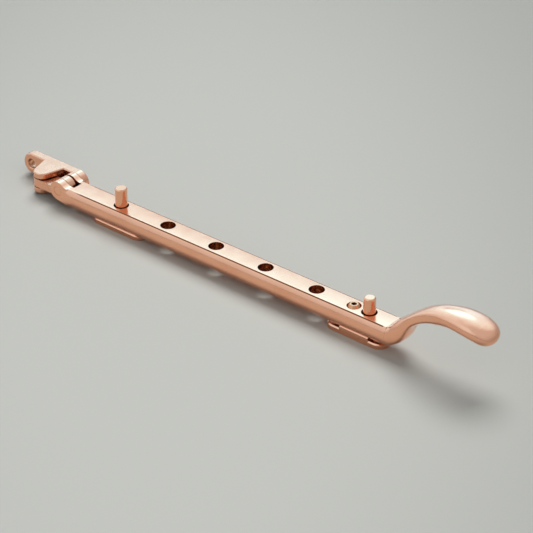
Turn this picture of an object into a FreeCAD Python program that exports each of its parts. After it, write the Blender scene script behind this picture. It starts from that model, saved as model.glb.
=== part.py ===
import FreeCAD, Part
import math
import os

V = FreeCAD.Vector

# Locking casement stay with a spoon end. Millimetres, +Z up, +X from the bracket towards the spoon.
# The origin is the centre of the bracket's mounting face, and +Y points into the sash.

# Bracket: round-ended back plate with two ears that hold the swing pin
plate_length = 34.4
plate_height = 9.3
plate_thick = 3.7
plate_edge = 0.5
bracket_screw_bore = 4.3
bracket_screw_head = 4.9
ear_thick = 2.4
ear_root_width = 11.4
ear_nose_radius = 3.8
ear_edge = 0.4
pivot_stand = 10.3
pivot_shift = 0.5

# Knuckle block: a barrel on the swing pin and a tongue on the lift pin
ear_gap = 0.4
block_reach = 13.6
block_rise = 1.8
block_edge = 0.3
shoulder_gap = 0.4
tongue_width = 3.3
tongue_shift = -0.05
swing_pin_dia = 4.0
swing_pin_cover = 0.7
lift_pin_dia = 4.0
lift_pin_edge = 0.15
pin_play = 0.05

# Bar: round rod with a flat milled along its top and bottom
bar_dia = 11.8
bar_thick = 8.1
flat_edge = 0.4
lift_to_first_hole = 31.0
hole_pitch = 25.4
hole_count = 6
hole_dia = 6.3
flat_run_out = 11.4

# Fork at the bar's end, round the tongue, its sides stepping in to the flat at the valley's foot
fork_radius = 4.2
fork_drop = 2.4
fork_width = 10.4
fork_width_run = 9.0
fork_step = 0.7
fork_valley_radius = 4.5
fork_heel = 9.0
slot_width = 4.5
slot_shift = 0.35
slot_depth = 6.3

# Spoon: distance past the flat, height of the middle above the bar's axis, lean of the section
# back from upright in degrees, half-width, half-depth
spoon_stations = [
    (0.0, 0.0, 0.0, 5.9, 4.05),
    (1.4, 0.15, 13.0, 5.8, 4.2),
    (2.9, 0.75, 22.0, 5.35, 4.55),
    (4.35, 2.75, 28.0, 4.9, 3.95),
    (6.15, 5.6, 35.0, 4.45, 3.1),
    (8.55, 8.5, 39.0, 4.2, 2.4),
    (11.35, 11.0, 36.0, 4.1, 2.3),
    (15.5, 13.7, 27.0, 4.2, 2.6),
    (21.8, 16.25, 17.5, 4.95, 3.35),
    (28.3, 17.7, 5.5, 6.2, 3.4),
    (35.2, 17.5, -6.5, 6.9, 3.5),
    (41.3, 16.2, -15.0, 6.25, 3.35),
    (44.3, 15.0, -20.5, 4.5, 2.7),
    (46.0, 14.4, -21.0, 0.0, 0.0),
]
spoon_sections = 14
spoon_section_points = 20
spoon_bands = (0, 0.15, 0.5, 0.85, 1)
spoon_rim_rise = 0.35
spoon_dome = 1.5
spoon_under_power = 2.8
neck_power = 3.0
neck_blend = (0.02, 0.2)
spoon_blend = (0.3, 0.65)
neck_root = 1.0
neck_step = 0.06

# Locking screw beside the last hole
screw_to_last_hole = 7.3
screw_thread_dia = 5.6
screw_play = 0.06
screw_stand = 0.8
screw_cone_height = 1.7
screw_cone_top_dia = 3.3
screw_length = 8.6
screw_hex = 2.0
screw_hex_depth = 3.0

# Peg plates
base_length = 28.0
base_width = 8.6
base_thick = 2.1
base_edge = 0.5
base_screw_spacing = 18.6
base_screw_bore = 3.2
base_screw_head = 5.6
lock_base_left = 18.7
lock_block_rise = 1.5
lock_block_length = 13.6
lock_block_left = 10.9
lock_hole_room = 0.15
lock_screw_inset = 3.6
rest_gap = 0.1

# Pegs
peg_dia = 5.1
peg_height = 18.6
peg_edge = 0.5
peg_spigot_dia = 4.0
lock_peg_top_dia = 4.6
lock_peg_taper = 7.5

# Places worked out from the sizes above
bracket_screw_spacing = plate_length - plate_height
pivot = V(pivot_shift, -pivot_stand, 0)
lift_axis = pivot + V(block_reach, 0, block_rise)
bar_top = fork_drop
bar_bottom = fork_drop - bar_thick
bar_mid = fork_drop - bar_thick / 2
flat_half = math.sqrt((bar_dia / 2) ** 2 - (bar_thick / 2) ** 2)
first_hole = lift_to_first_hole
last_hole = first_hole + hole_pitch * (hole_count - 1)
screw_place = last_hole - screw_to_last_hole
flat_end = last_hole + flat_run_out
plain_plate_start = first_hole - base_length / 2
lock_block_start = last_hole - lock_block_left
bar_tilt = math.asin(lock_block_rise / (lock_block_start - plain_plate_start))
sill = (lift_axis.z + bar_bottom + plain_plate_start * math.sin(bar_tilt)) - base_thick - rest_gap


def on_bar(x, z):
    """A point given in the bar's own frame, from the lift pin, in the part's frame."""
    c, s = math.cos(bar_tilt), math.sin(bar_tilt)
    return lift_axis + V(x * c - z * s, 0, x * s + z * c)


def place_on_bar(shape):
    """Turns a shape made in the bar's own frame to the bar's rest on its two peg plates."""
    placed = shape.copy()
    turn = FreeCAD.Rotation(V(0, 1, 0), -math.degrees(bar_tilt))
    placed.Placement = FreeCAD.Placement(lift_axis, turn).multiply(placed.Placement)
    return placed


def face_of(edges):
    return Part.Face(Part.Wire(edges))


def cylinder(dia, start, end):
    """A cylinder of a diameter from one point to another."""
    along = end - start
    return Part.makeCylinder(dia / 2, along.Length, start, along)


def cone(dia_start, dia_end, start, end):
    along = end - start
    return Part.makeCone(dia_start / 2, dia_end / 2, along.Length, start, along)


def stadium(length, width, centre, across, along=V(1, 0, 0)):
    """A flat face with half-round ends, its length along one direction and width across it."""
    r = width / 2
    run = along * (length / 2 - r)
    side = across * r
    tip = along * (length / 2)
    top = Part.makeLine(centre - run + side, centre + run + side)
    right = Part.Arc(centre + run + side, centre + tip, centre + run - side).toShape()
    bottom = Part.makeLine(centre + run - side, centre - run - side)
    left = Part.Arc(centre - run - side, centre - tip, centre - run + side).toShape()
    return face_of([top, right, bottom, left])


def edges_at(shape, test):
    """The edges whose every vertex passes a test."""
    return [e for e in shape.Edges if all(test(v.Point) for v in e.Vertexes)]


def near(a, b):
    return abs(a - b) < 1e-4


def countersink(bore, head, mouth, inward, depth):
    """A screw hole with a 90 degree countersink, its mouth at a point."""
    hole = cylinder(bore, mouth - inward, mouth + inward * (depth + 1))
    sink = cone(head + 2, bore, mouth - inward, mouth + inward * ((head - bore) / 2))
    return hole.fuse(sink)


def lug(z_low, z_high):
    """An ear: its sides run from the root at the plate, tangent to the nose round the swing pin."""
    half = ear_root_width / 2
    back = pivot_stand - plate_thick
    root = math.hypot(half, back)
    normal = math.atan2(back, half) - math.acos(ear_nose_radius / root)
    touch = V(math.cos(normal), math.sin(normal), 0) * ear_nose_radius
    centre = V(pivot.x, pivot.y, z_low)
    right_root, left_root = centre + V(half, back + 1, 0), centre + V(-half, back + 1, 0)
    right_foot, left_foot = centre + V(half, back, 0), centre + V(-half, back, 0)
    right_touch = centre + touch
    left_touch = centre + V(-touch.x, touch.y, 0)
    nose = centre - V(0, ear_nose_radius, 0)
    outline = face_of([
        Part.makeLine(left_root, left_foot),
        Part.makeLine(left_foot, left_touch),
        Part.Arc(left_touch, nose, right_touch).toShape(),
        Part.makeLine(right_touch, right_foot),
        Part.makeLine(right_foot, right_root),
        Part.makeLine(right_root, left_root),
    ])
    return outline.extrude(V(0, 0, z_high - z_low))


def make_bracket():
    top = plate_height / 2
    plate = stadium(plate_length, plate_height, V(0, 0, 0), V(0, 0, 1)).extrude(V(0, -plate_thick, 0))
    plate = plate.makeChamfer(plate_edge, edges_at(plate, lambda p: near(p.y, -plate_thick)))
    body = plate
    for low, high in ((top - ear_thick, top), (-top, ear_thick - top)):
        outer = high if high > 0 else low
        ear = lug(low, high)
        rim = edges_at(ear, lambda p: near(p.z, outer) and p.y < -plate_thick + 1e-4)
        body = body.fuse(ear.makeChamfer(ear_edge, rim))
    blind = V(pivot.x, pivot.y, top - swing_pin_cover)
    body = body.cut(cylinder(swing_pin_dia, V(pivot.x, pivot.y, -top - 1), blind))
    for side in (-1, 1):
        mouth = V(side * bracket_screw_spacing / 2, -plate_thick, 0)
        body = body.cut(countersink(bracket_screw_bore, bracket_screw_head, mouth, V(0, 1, 0), plate_thick))
    return body.removeSplitter()


def make_swing_pin():
    top = plate_height / 2
    return cylinder(swing_pin_dia, V(pivot.x, pivot.y, -top), V(pivot.x, pivot.y, top - swing_pin_cover))


def make_knuckle_block():
    half = plate_height / 2 - ear_thick - ear_gap
    r = ear_nose_radius
    shoulder = block_reach - fork_radius - shoulder_gap
    base = pivot - V(0, 0, half)
    shank = face_of([
        Part.Arc(base + V(0, r, 0), base - V(r, 0, 0), base - V(0, r, 0)).toShape(),
        Part.makeLine(base - V(0, r, 0), base + V(shoulder, -r, 0)),
        Part.makeLine(base + V(shoulder, -r, 0), base + V(shoulder, r, 0)),
        Part.makeLine(base + V(shoulder, r, 0), base + V(0, r, 0)),
    ]).extrude(V(0, 0, 2 * half))
    shank = shank.makeChamfer(block_edge, edges_at(shank, lambda p: near(p.x, pivot.x + shoulder)))
    near_side = V(0, tongue_shift - tongue_width / 2, 0)
    across = V(0, tongue_width, 0)
    web_length = block_reach - shoulder + 1
    web = Part.makeBox(web_length, tongue_width, 2 * half, base + near_side + V(shoulder - 1, 0, 0))
    barrel_start = lift_axis + near_side
    barrel = cylinder(2 * fork_radius, barrel_start, barrel_start + across)
    body = shank.fuse(web).fuse(barrel)
    swing_bore = swing_pin_dia + 2 * pin_play
    body = body.cut(cylinder(swing_bore, pivot - V(0, 0, half + 1), pivot + V(0, 0, half + 1)))
    lift_bore = lift_pin_dia + 2 * pin_play
    body = body.cut(cylinder(lift_bore, barrel_start - across, barrel_start + across * 2))
    return body.removeSplitter()


def make_lift_pin():
    half = fork_width / 2
    pin = cylinder(lift_pin_dia, V(0, -half, 0), V(0, half, 0))
    return place_on_bar(pin.makeChamfer(lift_pin_edge, edges_at(pin, lambda p: near(abs(p.y), half))))


def rod(start, end):
    """The bar's section, a circle with two flats whose edges are rounded, run along X."""
    r = bar_dia / 2
    h = bar_thick / 2
    round_rod = Part.makeCylinder(r, end - start, V(start, 0, bar_mid), V(1, 0, 0))
    slab = Part.makeBox(end - start, 2 * r, 2 * h, V(start, -r, bar_mid - h))
    body = round_rod.common(slab)
    ridges = [e for e in body.Edges if near(e.Length, end - start)]
    return body.makeFillet(flat_edge, ridges)


def fork_profile():
    """The fork from the side: round barrel, valley down to the flat and heel under it."""
    r = fork_radius
    valley = fork_valley_radius
    valley_x = math.sqrt((r + valley) ** 2 - (bar_top + valley) ** 2)
    lean = math.atan2(bar_top + valley, valley_x)
    touch = V(r * math.cos(lean), 0, r * math.sin(lean))
    valley_mid_angle = (lean + math.pi + 1.5 * math.pi) / 2
    valley_centre = V(valley_x, 0, bar_top + valley)
    valley_mid = valley_centre + V(math.cos(valley_mid_angle), 0, math.sin(valley_mid_angle)) * valley
    valley_foot = V(valley_x, 0, bar_top)
    heel = V(fork_heel, 0, bar_bottom)
    reach = math.hypot(heel.x, heel.z)
    under = math.atan2(heel.z, heel.x) - math.acos(r / reach)
    under_touch = V(r * math.cos(under), 0, r * math.sin(under))
    end = fork_heel + fork_width_run
    return face_of([
        Part.Arc(touch, V(-r, 0, 0), under_touch).toShape(),
        Part.makeLine(under_touch, heel),
        Part.makeLine(heel, V(end, 0, bar_bottom)),
        Part.makeLine(V(end, 0, bar_bottom), V(end, 0, bar_top)),
        Part.makeLine(V(end, 0, bar_top), valley_foot),
        Part.Arc(valley_foot, valley_mid, touch).toShape(),
    ]), valley_x


def mirrored_plan(points, run):
    """A plan outline about the X axis: straight, then an arc from one half-width to another."""
    (x0, y0), (x1, y1), mid = points
    low = bar_bottom - 1
    left = V(-fork_radius - 1, 0, low)
    near_side = [
        Part.makeLine(V(left.x, -y0, low), V(x0, -y0, low)),
        Part.Arc(V(x0, -y0, low), V(mid[0], -mid[1], low), V(x1, -y1, low)).toShape(),
    ]
    far_side = [
        Part.Arc(V(x1, y1, low), V(mid[0], mid[1], low), V(x0, y0, low)).toShape(),
        Part.makeLine(V(x0, y0, low), V(left.x, y0, low)),
        Part.makeLine(V(left.x, y0, low), V(left.x, -y0, low)),
    ]
    if run > x1:
        middle = [
            Part.makeLine(V(x1, -y1, low), V(run, -y1, low)),
            Part.makeLine(V(run, -y1, low), V(run, y1, low)),
            Part.makeLine(V(run, y1, low), V(x1, y1, low)),
        ]
    else:
        middle = [Part.makeLine(V(x1, -y1, low), V(x1, y1, low))]
    plan = face_of(near_side + middle + far_side)
    return plan.extrude(V(0, 0, bar_thick + 2 * fork_radius + 2))


def make_fork():
    """The bar's forked end, before its slot: flat-sided barrel run out into the round rod."""
    profile, valley_x = fork_profile()
    end = fork_heel + fork_width_run
    side = profile.copy()
    side.translate(V(0, -bar_dia / 2, 0))
    side = side.extrude(V(0, bar_dia, 0))
    half = fork_width / 2
    full = bar_dia / 2
    run = fork_width_run
    bow = (full - half) * 0.25
    widening = mirrored_plan([(0, half), (run, full), (run / 2, half + bow)], end)
    narrow_bow = (half - flat_half) * 0.25
    step_mid = (valley_x - fork_step / 2, half - narrow_bow)
    narrowing = mirrored_plan([(valley_x - fork_step, half), (valley_x, flat_half), step_mid], 0)
    lower = rod(-fork_radius - 1, end).common(side).common(widening)
    upper = side.common(narrowing)
    return lower.fuse(upper)


def eased(value, span):
    """0 before a span, 1 after it and a smooth step between."""
    share = min(1.0, max(0.0, (value - span[0]) / (span[1] - span[0])))
    return share * share * (3 - 2 * share)


def mixed(a, b, share):
    return (a[0] * (1 - share) + b[0] * share, a[1] * (1 - share) + b[1] * share)


def power_point(c, s, power):
    return math.copysign(abs(c) ** (2 / power), c), math.copysign(abs(s) ** (2 / power), s)


def section_point(turn, half_width, half_depth, to_neck, to_spoon):
    """A point of a section: the bar's outline, then a rounded oblong, then a domed thumb piece."""
    c, s = math.cos(turn), math.sin(turn)
    reach = min(bar_dia / 2, bar_thick / 2 / max(abs(s), 1e-6)) - neck_step
    across, up = power_point(c, s, neck_power)
    neck = (half_width * across, half_depth * up)
    rim = spoon_rim_rise * half_depth
    if s >= 0:
        thumb = (half_width * c, rim + (half_depth - rim) * s ** spoon_dome)
    else:
        across, up = power_point(c, s, spoon_under_power)
        thumb = (half_width * across, rim + (half_depth + rim) * up)
    return mixed((reach * c, reach * s), mixed(neck, thumb, to_spoon), to_neck)


def evenly_spaced(points, count):
    """Points at equal steps along a closed outline."""
    loop = points + points[:1]
    steps = [math.dist(a, b) for a, b in zip(loop, loop[1:])]
    spaced, k, passed = [], 0, 0.0
    for i in range(count):
        goal = sum(steps) * i / count
        while passed + steps[k] < goal:
            passed += steps[k]
            k += 1
        spaced.append(mixed(loop[k], loop[k + 1], (goal - passed) / steps[k]))
    return spaced


def spoon_section(place, lean, half_width, half_depth, share):
    """A closed outline across the spoon's run, leaning back from upright."""
    up = V(-math.sin(math.radians(lean)), 0, math.cos(math.radians(lean)))
    to_neck, to_spoon = eased(share, neck_blend), eased(share, spoon_blend)
    fine = 12 * spoon_section_points
    turns = [math.pi / 2 + 2 * math.pi * i / fine for i in range(fine)]
    outline = [section_point(turn, half_width, half_depth, to_neck, to_spoon) for turn in turns]
    points = [place + V(0, side, 0) + up * rise
              for side, rise in evenly_spaced(outline, spoon_section_points)]
    curve = Part.BSplineCurve()
    turns = [i / spoon_section_points for i in range(spoon_section_points + 1)]
    curve.interpolate(Points=points, PeriodicFlag=True, Parameters=turns)
    return Part.Wire([curve.toShape()])


def in_bands(loft, cuts):
    """The same solid, its lofted side made of bands between shares of its run."""
    side = max(loft.Faces, key=lambda face: face.Area)
    first, last, start, end = side.ParameterRange
    marks = [start + cut * (end - start) for cut in cuts]
    bands = [side.Surface.toShape(first, last, a, b) for a, b in zip(marks, marks[1:])]
    caps = [face for face in loft.Faces if not face.isSame(side)]
    shell = Part.makeShell(bands + caps)
    shell.sewShape()
    return Part.makeSolid(shell)


def make_spoon():
    """The neck and thumb piece, lofted through sections that lean with one smooth run."""
    run = [V(flat_end + x, 0, bar_mid + z) for x, z, _, _, _ in spoon_stations]
    steps = [0.0]
    for a, b in zip(run, run[1:]):
        steps.append(steps[-1] + (b - a).Length)
    shares = [step / steps[-1] for step in steps]
    centre = Part.BSplineCurve()
    centre.interpolate(Points=run, Parameters=shares)
    sizes = Part.BSplineCurve()
    sizes.interpolate(Points=[V(lean, w * w, d * d) for _, _, lean, w, d in spoon_stations],
                      Parameters=shares)
    root = run[0] - V(neck_root, 0, 0)
    profiles = [spoon_section(root, 0.0, bar_dia / 2, bar_thick / 2, 0.0)]
    for i in range(spoon_sections):
        share = math.sin(0.5 * math.pi * i / spoon_sections)
        size = sizes.value(share)
        width, depth = math.sqrt(size.y), math.sqrt(size.z)
        profiles.append(spoon_section(centre.value(share), size.x, width, depth, share))
    profiles.append(Part.Vertex(run[-1]))
    return in_bands(Part.makeLoft(profiles, True, False), spoon_bands)


def make_stay_bar():
    fork = make_fork()
    fork_end = fork_heel + fork_width_run
    body = fork.fuse(rod(fork_end, flat_end))
    slot = Part.makeBox(slot_depth + 2 * fork_radius, slot_width, bar_thick + 2 * fork_radius,
                        V(-2 * fork_radius, slot_shift - slot_width / 2, bar_bottom - 1))
    body = body.cut(slot)
    body = body.cut(cylinder(lift_pin_dia, V(0, -bar_dia, 0), V(0, bar_dia, 0)))
    for i in range(hole_count):
        x = first_hole + i * hole_pitch
        body = body.cut(cylinder(hole_dia, V(x, 0, bar_bottom - 1), V(x, 0, bar_top + 1)))
    thread = screw_thread_dia + 2 * screw_play
    body = body.cut(cylinder(thread, V(screw_place, 0, bar_bottom - 1), V(screw_place, 0, bar_top + 1)))
    return place_on_bar(body.removeSplitter().fuse(make_spoon()))


def make_locking_screw():
    top = V(screw_place, 0, bar_top + screw_stand)
    shoulder = top - V(0, 0, screw_cone_height)
    foot = top - V(0, 0, screw_length)
    shank = cylinder(screw_thread_dia, foot, shoulder)
    head = cone(screw_thread_dia, screw_cone_top_dia, shoulder, top)
    corner = screw_hex / math.sqrt(3)
    corners = [top + V(corner * math.cos(math.pi * k / 3), corner * math.sin(math.pi * k / 3), 1)
               for k in range(7)]
    socket = Part.Face(Part.makePolygon(corners)).extrude(V(0, 0, -screw_hex_depth - 1))
    return place_on_bar(shank.fuse(head).cut(socket).removeSplitter())


def base_plate(length, middle_x, top_z):
    """A round-ended plate lying on the sill, with its top edge broken."""
    outline = stadium(length, base_width, V(middle_x, pivot.y, sill), V(0, 1, 0))
    plate = outline.extrude(V(0, 0, top_z - sill))
    return plate.makeChamfer(base_edge, edges_at(plate, lambda p: near(p.z, top_z)))


def hole_in_plate(x, dia, top_z):
    return cylinder(dia, V(x, pivot.y, sill - 1), V(x, pivot.y, top_z + 1))


def make_plain_peg_plate():
    x = on_bar(first_hole, bar_mid).x
    top = sill + base_thick
    body = base_plate(base_length, x, top).cut(hole_in_plate(x, peg_spigot_dia, top))
    for side in (-1, 1):
        mouth = V(x + side * base_screw_spacing / 2, pivot.y, top)
        body = body.cut(countersink(base_screw_bore, base_screw_head, mouth, V(0, 0, -1), base_thick))
    return body


def make_locking_peg_plate():
    x = on_bar(last_hole, bar_mid).x
    low = sill + base_thick
    high = low + lock_block_rise
    start = on_bar(lock_block_start, bar_mid).x
    middle = x - lock_base_left + base_length / 2
    base = base_plate(base_length, middle, low)
    whole = base_plate(base_length, middle, high)
    window = Part.makeBox(lock_block_length, 2 * base_width, lock_block_rise + base_thick,
                          V(start, pivot.y - base_width, sill + base_thick / 2))
    body = base.fuse(whole.common(window)).removeSplitter()
    body = body.cut(hole_in_plate(x, peg_spigot_dia, high))
    screw_hole = screw_thread_dia + 2 * lock_hole_room
    body = body.cut(hole_in_plate(on_bar(screw_place, bar_bottom).x, screw_hole, high))
    for side in (-1, 1):
        mouth = V(middle + side * (base_length / 2 - lock_screw_inset), pivot.y, low)
        body = body.cut(countersink(base_screw_bore, base_screw_head, mouth, V(0, 0, -1), base_thick))
    return body


def peg_blank(x, seat_z, dia, top_dia, taper):
    """A peg with a spigot riveted through its plate, straight and then tapered to its top."""
    foot = V(x, pivot.y, sill)
    seat = V(x, pivot.y, seat_z)
    top = V(x, pivot.y, sill + peg_height)
    waist = top - V(0, 0, taper)
    shank = cylinder(dia, seat, waist)
    tip = cone(dia, top_dia, waist, top) if top_dia < dia else cylinder(dia, waist, top)
    body = shank.fuse(tip).removeSplitter()
    body = body.makeChamfer(peg_edge, edges_at(body, lambda p: near(p.z, top.z)))
    return body.fuse(cylinder(peg_spigot_dia, foot, seat)).removeSplitter()


def make_plain_peg():
    return peg_blank(on_bar(first_hole, bar_mid).x, sill + base_thick, peg_dia, peg_dia, lock_peg_taper)


def make_locking_peg():
    seat = sill + base_thick + lock_block_rise
    return peg_blank(on_bar(last_hole, bar_mid).x, seat, peg_dia, lock_peg_top_dia, lock_peg_taper)


def main():
    os.makedirs("parts", exist_ok=True)
    nodes = {
        "bracket": make_bracket(),
        "swing_pin": make_swing_pin(),
        "knuckle_block": make_knuckle_block(),
        "lift_pin": make_lift_pin(),
        "stay_bar": make_stay_bar(),
        "locking_screw": make_locking_screw(),
        "plain_peg_plate": make_plain_peg_plate(),
        "plain_peg": make_plain_peg(),
        "locking_peg_plate": make_locking_peg_plate(),
        "locking_peg": make_locking_peg(),
    }
    for name, shape in nodes.items():
        print(name, "valid", shape.isValid(), "solids", len(shape.Solids), "volume", round(shape.Volume, 1))
        shape.exportStep("parts/" + name + ".step")


main()
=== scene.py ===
import math

import bpy
from mathutils import Matrix, Vector


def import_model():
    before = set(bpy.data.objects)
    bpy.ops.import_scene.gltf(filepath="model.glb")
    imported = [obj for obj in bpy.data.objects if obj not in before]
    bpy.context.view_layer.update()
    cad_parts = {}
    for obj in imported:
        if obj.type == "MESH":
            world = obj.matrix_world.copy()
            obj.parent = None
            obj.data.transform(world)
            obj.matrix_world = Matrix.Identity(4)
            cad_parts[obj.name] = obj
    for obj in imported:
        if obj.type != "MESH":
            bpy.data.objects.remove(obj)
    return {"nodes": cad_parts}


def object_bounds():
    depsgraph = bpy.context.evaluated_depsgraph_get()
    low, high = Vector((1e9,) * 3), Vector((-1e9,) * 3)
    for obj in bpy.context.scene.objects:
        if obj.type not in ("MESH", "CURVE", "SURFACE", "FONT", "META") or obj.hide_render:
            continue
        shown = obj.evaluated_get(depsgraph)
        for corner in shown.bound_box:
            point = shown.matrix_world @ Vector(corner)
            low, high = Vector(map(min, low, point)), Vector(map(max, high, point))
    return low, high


# Sizes are in metres, angles in degrees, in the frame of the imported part

# Camera, whose azimuth is measured from the front of the part
front_azimuth = -90.0
camera_target = Vector((0.11453, -0.00166, -0.00089))
camera_distance = 0.94
camera_azimuth = 39.577
camera_elevation = 31.456
camera_roll = 0.602
camera_lens = 161.63
camera_sensor = 36.0
camera_near = 0.05

# Floor card, just clear of the lowest point of the part
floor_size = 9.0
floor_gap = 0.0001
floor_colour = (0.580, 0.583, 0.544)
floor_roughness = 0.9
floor_specular = 0.2
floor_mottle = 0.015
# A pool of light is painted on the card: it darkens away from a point, more slowly along the camera's
# direction of view than across it
painted_pool_centre = (0.088, -0.026, 0.0)
painted_pool_reach = (0.20, 0.45, 1.0)
painted_pool_span = (0.25, 1.2)
painted_pool_kept = 0.72

# Lamps for the floor and its shadows: azimuth, elevation, angular size, strength
lamps = {
    "key_lamp": (123.7, 61.5, 41.0, 2.34),
    "fill_lamp": (330.0, 34.0, 93.0, 1.57),
}

# The room that the metal mirrors: its level below the horizon and overhead
room_low = 0.42
room_high = 0.72
# Cones of the room: azimuth, elevation, inner and outer angle. Last comes the light that a soft
# box adds or the share of it that a flag keeps
room_dome = (0.0, 90.0, 20.0, 95.0)
softboxes = {
    "window": (132.7, 42.0, 9.7, 17.1, 1.00),
    "glow": (120.0, 40.6, 2.0, 46.0, 0.82),
    "horizon": (149.5, 6.4, 30.0, 47.0, 0.59),
    "front": (224.0, 35.0, 30.0, 49.0, 0.36),
}
flags = {
    "bar": (132.0, 25.0, 3.0, 13.5, 0.47),
}
# The room's light is neutral where it is dim and daylight blue where it is bright
dim_level = 0.30
box_level = 2.0
dim_tint = (1.0, 1.0, 1.0)
box_tint = (0.50, 1.0, 1.33)

# Noises: scale, detail and roughness. A span holds the values between which a noise takes effect
mottle_noise = (3.0, 3.0, 0.5)
line_noise = (1.0, 4.0, 0.65)
line_span = (0.25, 0.75)
cloud_noise = (70.0, 3.0, 0.5)
cloud_span = (0.3, 0.6)
smudge_noise = (180.0, 2.0, 0.5)
smudge_span = (0.35, 0.7)
speckle_noise = (1100.0, 2.0, 0.5)
speckle_span = (0.42, 0.68)

# Rose gold plate, in a darker and a lighter tone for each kind of piece
plate_gold = ((0.94, 0.445, 0.27), (0.97, 0.475, 0.295))
cast_gold = ((0.87, 0.41, 0.25), (0.90, 0.435, 0.27))
screw_gold = ((0.74, 0.33, 0.16), (0.80, 0.38, 0.19))
peg_gold = ((0.90, 0.42, 0.245), (0.93, 0.45, 0.265))
# Shade painted into holes, gaps and seats, in a dark and a lighter speckled tone
painted_shade_dark = (0.34, 0.135, 0.07)
painted_shade_light = (0.92, 0.50, 0.29)
# How rough the gold is, and by what share the polishing lines and the smudges change that
gold_roughness = 0.15
line_gloss = 0.25
smudge_gloss = 0.5
# Clear lacquer, which fades out as the painted shade deepens
coat_weight = 0.4
coat_fade = (0.0, 0.6)
coat_roughness = 0.12
coat_ior = 1.5
# Polishing lines: their depth, and how fine they are along X, Y and Z
line_depth = 0.00002
along_grain = (40.0, 1800.0, 1800.0)
turned_grain = (300.0, 300.0, 3000.0)
cast_grain = (900.0, 900.0, 900.0)
# Radius by which the shading rounds the edges
edge_round = 0.00025
edge_samples = 6
# How far a recess reaches, and the openness at which the shade painted into it begins and is full
hole_recess = (0.008, 0.80, 0.40)
gap_recess = (0.007, 0.85, 0.35)
seat_recess = (0.004, 0.50, 0.20)
socket_recess = (0.002, 0.60, 0.0)
recess_samples = 8

# The bar: half its width, its thickness over the flats, and how far the bow of its top flat
# would fall at the widest place of the stay
bar_half = 0.0059
bar_thick = 0.0081
bar_crown = 0.00015
# A thin dark reflection painted along each edge of the flat: its colour, half its width, the share of
# that which is fully dark, and how far both lines lie towards the front
painted_edge_colour = (0.24, 0.065, 0.025)
painted_edge_half = 0.00027
painted_edge_core = 0.4
painted_edge_shift = 0.00014
# Where the painted dark edges begin and end along the bar, and how far upwards their surface faces
flat_start = (0.022, 0.028)
flat_end = (0.1822, 0.1818)
flat_facing = (0.5, 0.6)

# Finishes, as far as they differ from what gold_material takes by itself
# A recess sets the shade painted into holes, gaps and seats
finishes = {
    "gold_bar": {"grain": along_grain, "strength": 0.5},
    "gold_drawn": {"grain": along_grain, "strength": 0.5, "recess": seat_recess, "alone": False},
    "gold_cast": {"grain": cast_grain, "strength": 0.3, "colours": cast_gold,
                  "dulling": 1.2, "recess": gap_recess, "alone": False},
    "gold_turned": {"grain": turned_grain, "strength": 0.3, "dulling": 0.9},
    "gold_screw": {"grain": turned_grain, "strength": 0.3, "colours": screw_gold,
                   "recess": socket_recess},
    "gold_peg": {"grain": turned_grain, "strength": 0.3, "colours": peg_gold, "dulling": 0.9},
}
finish_of = {
    "bracket": "gold_cast",
    "swing_pin": "gold_turned",
    "knuckle_block": "gold_cast",
    "lift_pin": "gold_turned",
    "stay_bar": "gold_bar",
    "locking_screw": "gold_screw",
    "plain_peg_plate": "gold_drawn",
    "plain_peg": "gold_peg",
    "locking_peg_plate": "gold_drawn",
    "locking_peg": "gold_peg",
}


def direction(azimuth, elevation):
    """A unit vector towards an azimuth from +X and an elevation above the floor."""
    turn, rise = math.radians(azimuth), math.radians(elevation)
    return Vector((math.cos(turn) * math.cos(rise), math.sin(turn) * math.cos(rise), math.sin(rise)))


def aimed(location, target, roll=0.0):
    """The matrix of a camera or lamp at a place, looking at a target."""
    look = (target - location).normalized()
    turn = look.to_track_quat("-Z", "Y").to_matrix().to_4x4()
    return Matrix.Translation(location) @ turn @ Matrix.Rotation(math.radians(roll), 4, "Z")


def linked(name, data):
    """A new object in the scene."""
    obj = bpy.data.objects.new(name, data)
    bpy.context.scene.collection.objects.link(obj)
    return obj


def fill(tree, node, sockets):
    """Links each input to another node's socket, or sets it to a value."""
    for key, value in sockets.items():
        if isinstance(value, bpy.types.NodeSocket):
            tree.links.new(value, node.inputs[key])
        else:
            node.inputs[key].default_value = value


def node_of(tree, kind, sockets, **properties):
    """A new node, with its properties and then its inputs set."""
    node = tree.nodes.new(kind)
    for key, value in properties.items():
        setattr(node, key, value)
    fill(tree, node, sockets)
    return node


def worked(tree, operation, *values):
    """The result of one operation on sockets or numbers."""
    return node_of(tree, "ShaderNodeMath", dict(enumerate(values)), operation=operation).outputs[0]


def ranged(tree, value, low, high, at_low=0.0, at_high=1.0, curve="SMOOTHSTEP", clamp=True):
    """A value mapped from one range to another."""
    sockets = {"Value": value, "From Min": low, "From Max": high, "To Min": at_low, "To Max": at_high}
    span = node_of(tree, "ShaderNodeMapRange", sockets, interpolation_type=curve, clamp=clamp)
    return span.outputs[0]


def blended(tree, first, second, share):
    """A colour that goes from the first to the second by a share. Each is a socket or a colour."""
    start, end = [(*c, 1.0) if isinstance(c, tuple) else c for c in (first, second)]
    mix = node_of(tree, "ShaderNodeMix", {"Factor": share, "A": start, "B": end}, data_type="RGBA")
    return mix.outputs["Result"]


def noise(tree, place, scale, detail, roughness):
    """The value of a noise at a place."""
    sockets = {"Vector": place, "Scale": scale, "Detail": detail, "Roughness": roughness}
    return node_of(tree, "ShaderNodeTexNoise", sockets).outputs["Fac"]


def make_camera():
    """The camera, standing where the photo was taken from."""
    data = bpy.data.cameras.new("camera")
    data.lens = camera_lens
    data.sensor_width = camera_sensor
    data.clip_start = camera_near
    camera = linked("camera", data)
    back = direction(front_azimuth + camera_azimuth, camera_elevation)
    camera.matrix_world = aimed(camera_target + back * camera_distance, camera_target, camera_roll)
    bpy.context.scene.camera = camera


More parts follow.
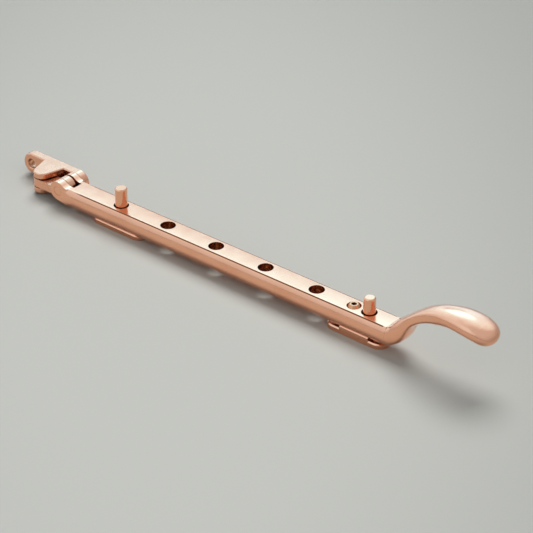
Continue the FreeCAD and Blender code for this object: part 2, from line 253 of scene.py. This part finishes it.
def cone(tree, ray, azimuth, elevation, inner, outer, far, near):
    """A value that goes smoothly from far to near as a ray comes into a cone of the room."""
    sockets = {0: ray, 1: direction(azimuth, elevation)}
    aim = node_of(tree, "ShaderNodeVectorMath", sockets, operation="DOT_PRODUCT").outputs["Value"]
    return ranged(tree, aim, math.cos(math.radians(outer)), math.cos(math.radians(inner)), far, near)


def make_room():
    """The studio that the metal mirrors: soft boxes and a flag on a grey that brightens upwards."""
    world = bpy.data.worlds.new("room")
    bpy.context.scene.world = world
    world.use_nodes = True
    world.cycles_visibility.diffuse = False
    tree = world.node_tree
    ray = tree.nodes.new("ShaderNodeTexCoord").outputs["Generated"]
    level = cone(tree, ray, *room_dome, room_low, room_high)
    for *shape, radiance in softboxes.values():
        level = worked(tree, "ADD", level, cone(tree, ray, *shape, 0.0, radiance))
    for *shape, kept in flags.values():
        level = worked(tree, "MULTIPLY", level, cone(tree, ray, *shape, 1.0, kept))
    share = ranged(tree, level, dim_level, box_level, curve="LINEAR")
    tint = blended(tree, dim_tint, box_tint, share)
    fill(tree, tree.nodes["Background"], {"Color": tint, "Strength": level})


def make_lamps():
    """Large soft lamps for the floor and its shadows. The metal mirrors the room instead."""
    for name, (azimuth, elevation, size, strength) in lamps.items():
        data = bpy.data.lights.new(name, "SUN")
        data.angle = math.radians(size)
        data.energy = strength
        lamp = linked(name, data)
        lamp.matrix_world = aimed(direction(azimuth, elevation), Vector((0.0, 0.0, 0.0)))
        lamp.visible_glossy = False


def floor_material():
    """Matt card with a faint mottle, and a pool of light painted on it that darkens away from a point.
    """
    material = bpy.data.materials.new("floor_card")
    material.use_nodes = True
    tree = material.node_tree
    place = tree.nodes.new("ShaderNodeTexCoord").outputs["Object"]
    tones = [tuple(c * share for c in floor_colour) for share in (1 - floor_mottle, 1 + floor_mottle)]
    card = blended(tree, *tones, noise(tree, place, *mottle_noise))
    # Painted pool of light: the card's colour darkens away from its centre
    sockets = {
        "Vector": place,
        "Location": painted_pool_centre,
        "Rotation": (0.0, 0.0, math.radians(camera_azimuth)),
        "Scale": painted_pool_reach,
    }
    spread = node_of(tree, "ShaderNodeMapping", sockets, vector_type="TEXTURE").outputs["Vector"]
    away = node_of(tree, "ShaderNodeVectorMath", {0: spread}, operation="LENGTH").outputs["Value"]
    kept = ranged(tree, away, *painted_pool_span, 1.0, painted_pool_kept)
    shaded = node_of(tree, "ShaderNodeVectorMath", {0: card, "Scale": kept}, operation="SCALE")
    fill(tree, tree.nodes["Principled BSDF"], {
        "Base Color": shaded.outputs["Vector"],
        "Roughness": floor_roughness,
        "Specular IOR Level": floor_specular,
    })
    return material


def make_floor(height):
    """A square of card at a height."""
    mesh = bpy.data.meshes.new("floor")
    far = floor_size / 2
    corners = [(-far, -far, 0), (far, -far, 0), (far, far, 0), (-far, far, 0)]
    mesh.from_pydata(corners, [], [(0, 1, 2, 3)])
    mesh.materials.append(floor_material())
    floor = linked("floor", mesh)
    floor.location.z = height


def part_of(tree, vector, axis):
    """One of the three parts of a vector."""
    return node_of(tree, "ShaderNodeSeparateXYZ", {0: vector}).outputs[axis]


def crowned(tree, place, middle, half, normal):
    """A normal that bows a flat slightly across its width, as polishing leaves it."""
    across = ranged(tree, part_of(tree, place, "Y"), middle, middle + half, curve="LINEAR", clamp=False)
    fall = worked(tree, "MULTIPLY", across, across)
    sockets = {"Strength": 1.0, "Distance": -bar_crown, "Height": fall, "Normal": normal}
    return node_of(tree, "ShaderNodeBump", sockets).outputs["Normal"]


def painted_edge_share(tree, place, middle):
    """One along the two straight edges of the bar's top flat, where a dark reflection is painted, else
    none.
    """
    edge = math.sqrt(bar_half ** 2 - (bar_thick / 2) ** 2)
    along = part_of(tree, place, "X")
    aside = worked(tree, "SUBTRACT", part_of(tree, place, "Y"), middle)
    beyond = worked(tree, "SUBTRACT", worked(tree, "ABSOLUTE", aside), edge)
    painted_edge = ranged(tree, worked(tree, "ABSOLUTE", beyond), painted_edge_half, painted_edge_half * painted_edge_core)
    facing = part_of(tree, tree.nodes.new("ShaderNodeNewGeometry").outputs["Normal"], "Z")
    for value, span in ((facing, flat_facing), (along, flat_start), (along, flat_end)):
        painted_edge = worked(tree, "MULTIPLY", painted_edge, ranged(tree, value, *span))
    return painted_edge


def painted_recess_shade(tree, reach, begun, full, alone):
    """Painted shade: one deep in holes and gaps and none in the open. Alone, only the piece itself
    counts.
    """
    shelter = node_of(tree, "ShaderNodeAmbientOcclusion", {"Distance": reach},
                      samples=recess_samples, only_local=alone)
    return ranged(tree, shelter.outputs["AO"], begun, full)


def gold_tone(tree, place, colours, painted_shade):
    """Two soft tones of gold, and speckled painted shade where a recess is deep."""
    gold = blended(tree, *colours, ranged(tree, noise(tree, place, *cloud_noise), *cloud_span))
    speckle = ranged(tree, noise(tree, place, *speckle_noise), *speckle_span)
    return blended(tree, gold, blended(tree, painted_shade_dark, painted_shade_light, speckle), painted_shade)


def gold_gloss(tree, place, lines, roughness):
    """The roughness of the metal: uneven along the polishing lines, and higher in smudges."""
    drawn = ranged(tree, lines, *line_span, roughness * (1 - line_gloss), roughness * (1 + line_gloss))
    smudge = noise(tree, place, *smudge_noise)
    worn = ranged(tree, smudge, *smudge_span, 0.0, roughness * smudge_gloss)
    return worked(tree, "ADD", drawn, worn)


def gold_material(name, grain, strength, colours=plate_gold, dulling=1.0, recess=hole_recess,
                  alone=True, crown=None):
    """Lacquered rose gold with polishing lines. A crown is the middle and half width of the stay."""
    material = bpy.data.materials.new(name)
    material.use_nodes = True
    tree = material.node_tree
    place = tree.nodes.new("ShaderNodeTexCoord").outputs["Object"]
    stretch = node_of(tree, "ShaderNodeMapping", {"Vector": place, "Scale": grain})
    lines = noise(tree, stretch.outputs["Vector"], *line_noise)
    # Shade painted into holes, gaps and seats, where little of the room is open
    painted_shade = painted_recess_shade(tree, *recess, alone)
    tone = gold_tone(tree, place, colours, painted_shade)
    bevel = node_of(tree, "ShaderNodeBevel", {"Radius": edge_round}, samples=edge_samples)
    formed = bevel.outputs["Normal"]
    # On the bar, a dark reflection is painted along each edge of the top flat, and the lacquer fades
    # there
    if crown:
        painted_edge = painted_edge_share(tree, place, crown[0] - painted_edge_shift)
        tone = blended(tree, tone, painted_edge_colour, painted_edge)
        painted_shade = worked(tree, "MAXIMUM", painted_shade, painted_edge)
        formed = crowned(tree, place, *crown, formed)
    sockets = {"Strength": strength, "Distance": line_depth, "Height": lines, "Normal": formed}
    bump = node_of(tree, "ShaderNodeBump", sockets)
    fill(tree, tree.nodes["Principled BSDF"], {
        "Base Color": tone,
        "Metallic": 1.0,
        "Roughness": gold_gloss(tree, place, lines, gold_roughness * dulling),
        "Normal": bump.outputs["Normal"],
        "Coat Weight": ranged(tree, painted_shade, *coat_fade, coat_weight, 0.0),
        "Coat Roughness": coat_roughness,
        "Coat IOR": coat_ior,
    })
    return material


def dress(nodes):
    """Gives every CAD node its finish."""
    sides = [corner[1] for corner in nodes["stay_bar"].bound_box]
    crown = ((max(sides) + min(sides)) / 2, (max(sides) - min(sides)) / 2)
    materials = {}
    for name, finish in finishes.items():
        bowed = crown if name == finish_of["stay_bar"] else None
        materials[name] = gold_material(name, crown=bowed, **finish)
    for name, obj in nodes.items():
        obj.data.materials.clear()
        obj.data.materials.append(materials[finish_of[name]])


def main():
    bpy.context.scene.view_settings.view_transform = "Standard"
    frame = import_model()
    cad_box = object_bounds()
    dress(frame["nodes"])
    make_floor(cad_box[0].z - floor_gap)
    make_room()
    make_lamps()
    make_camera()


main()
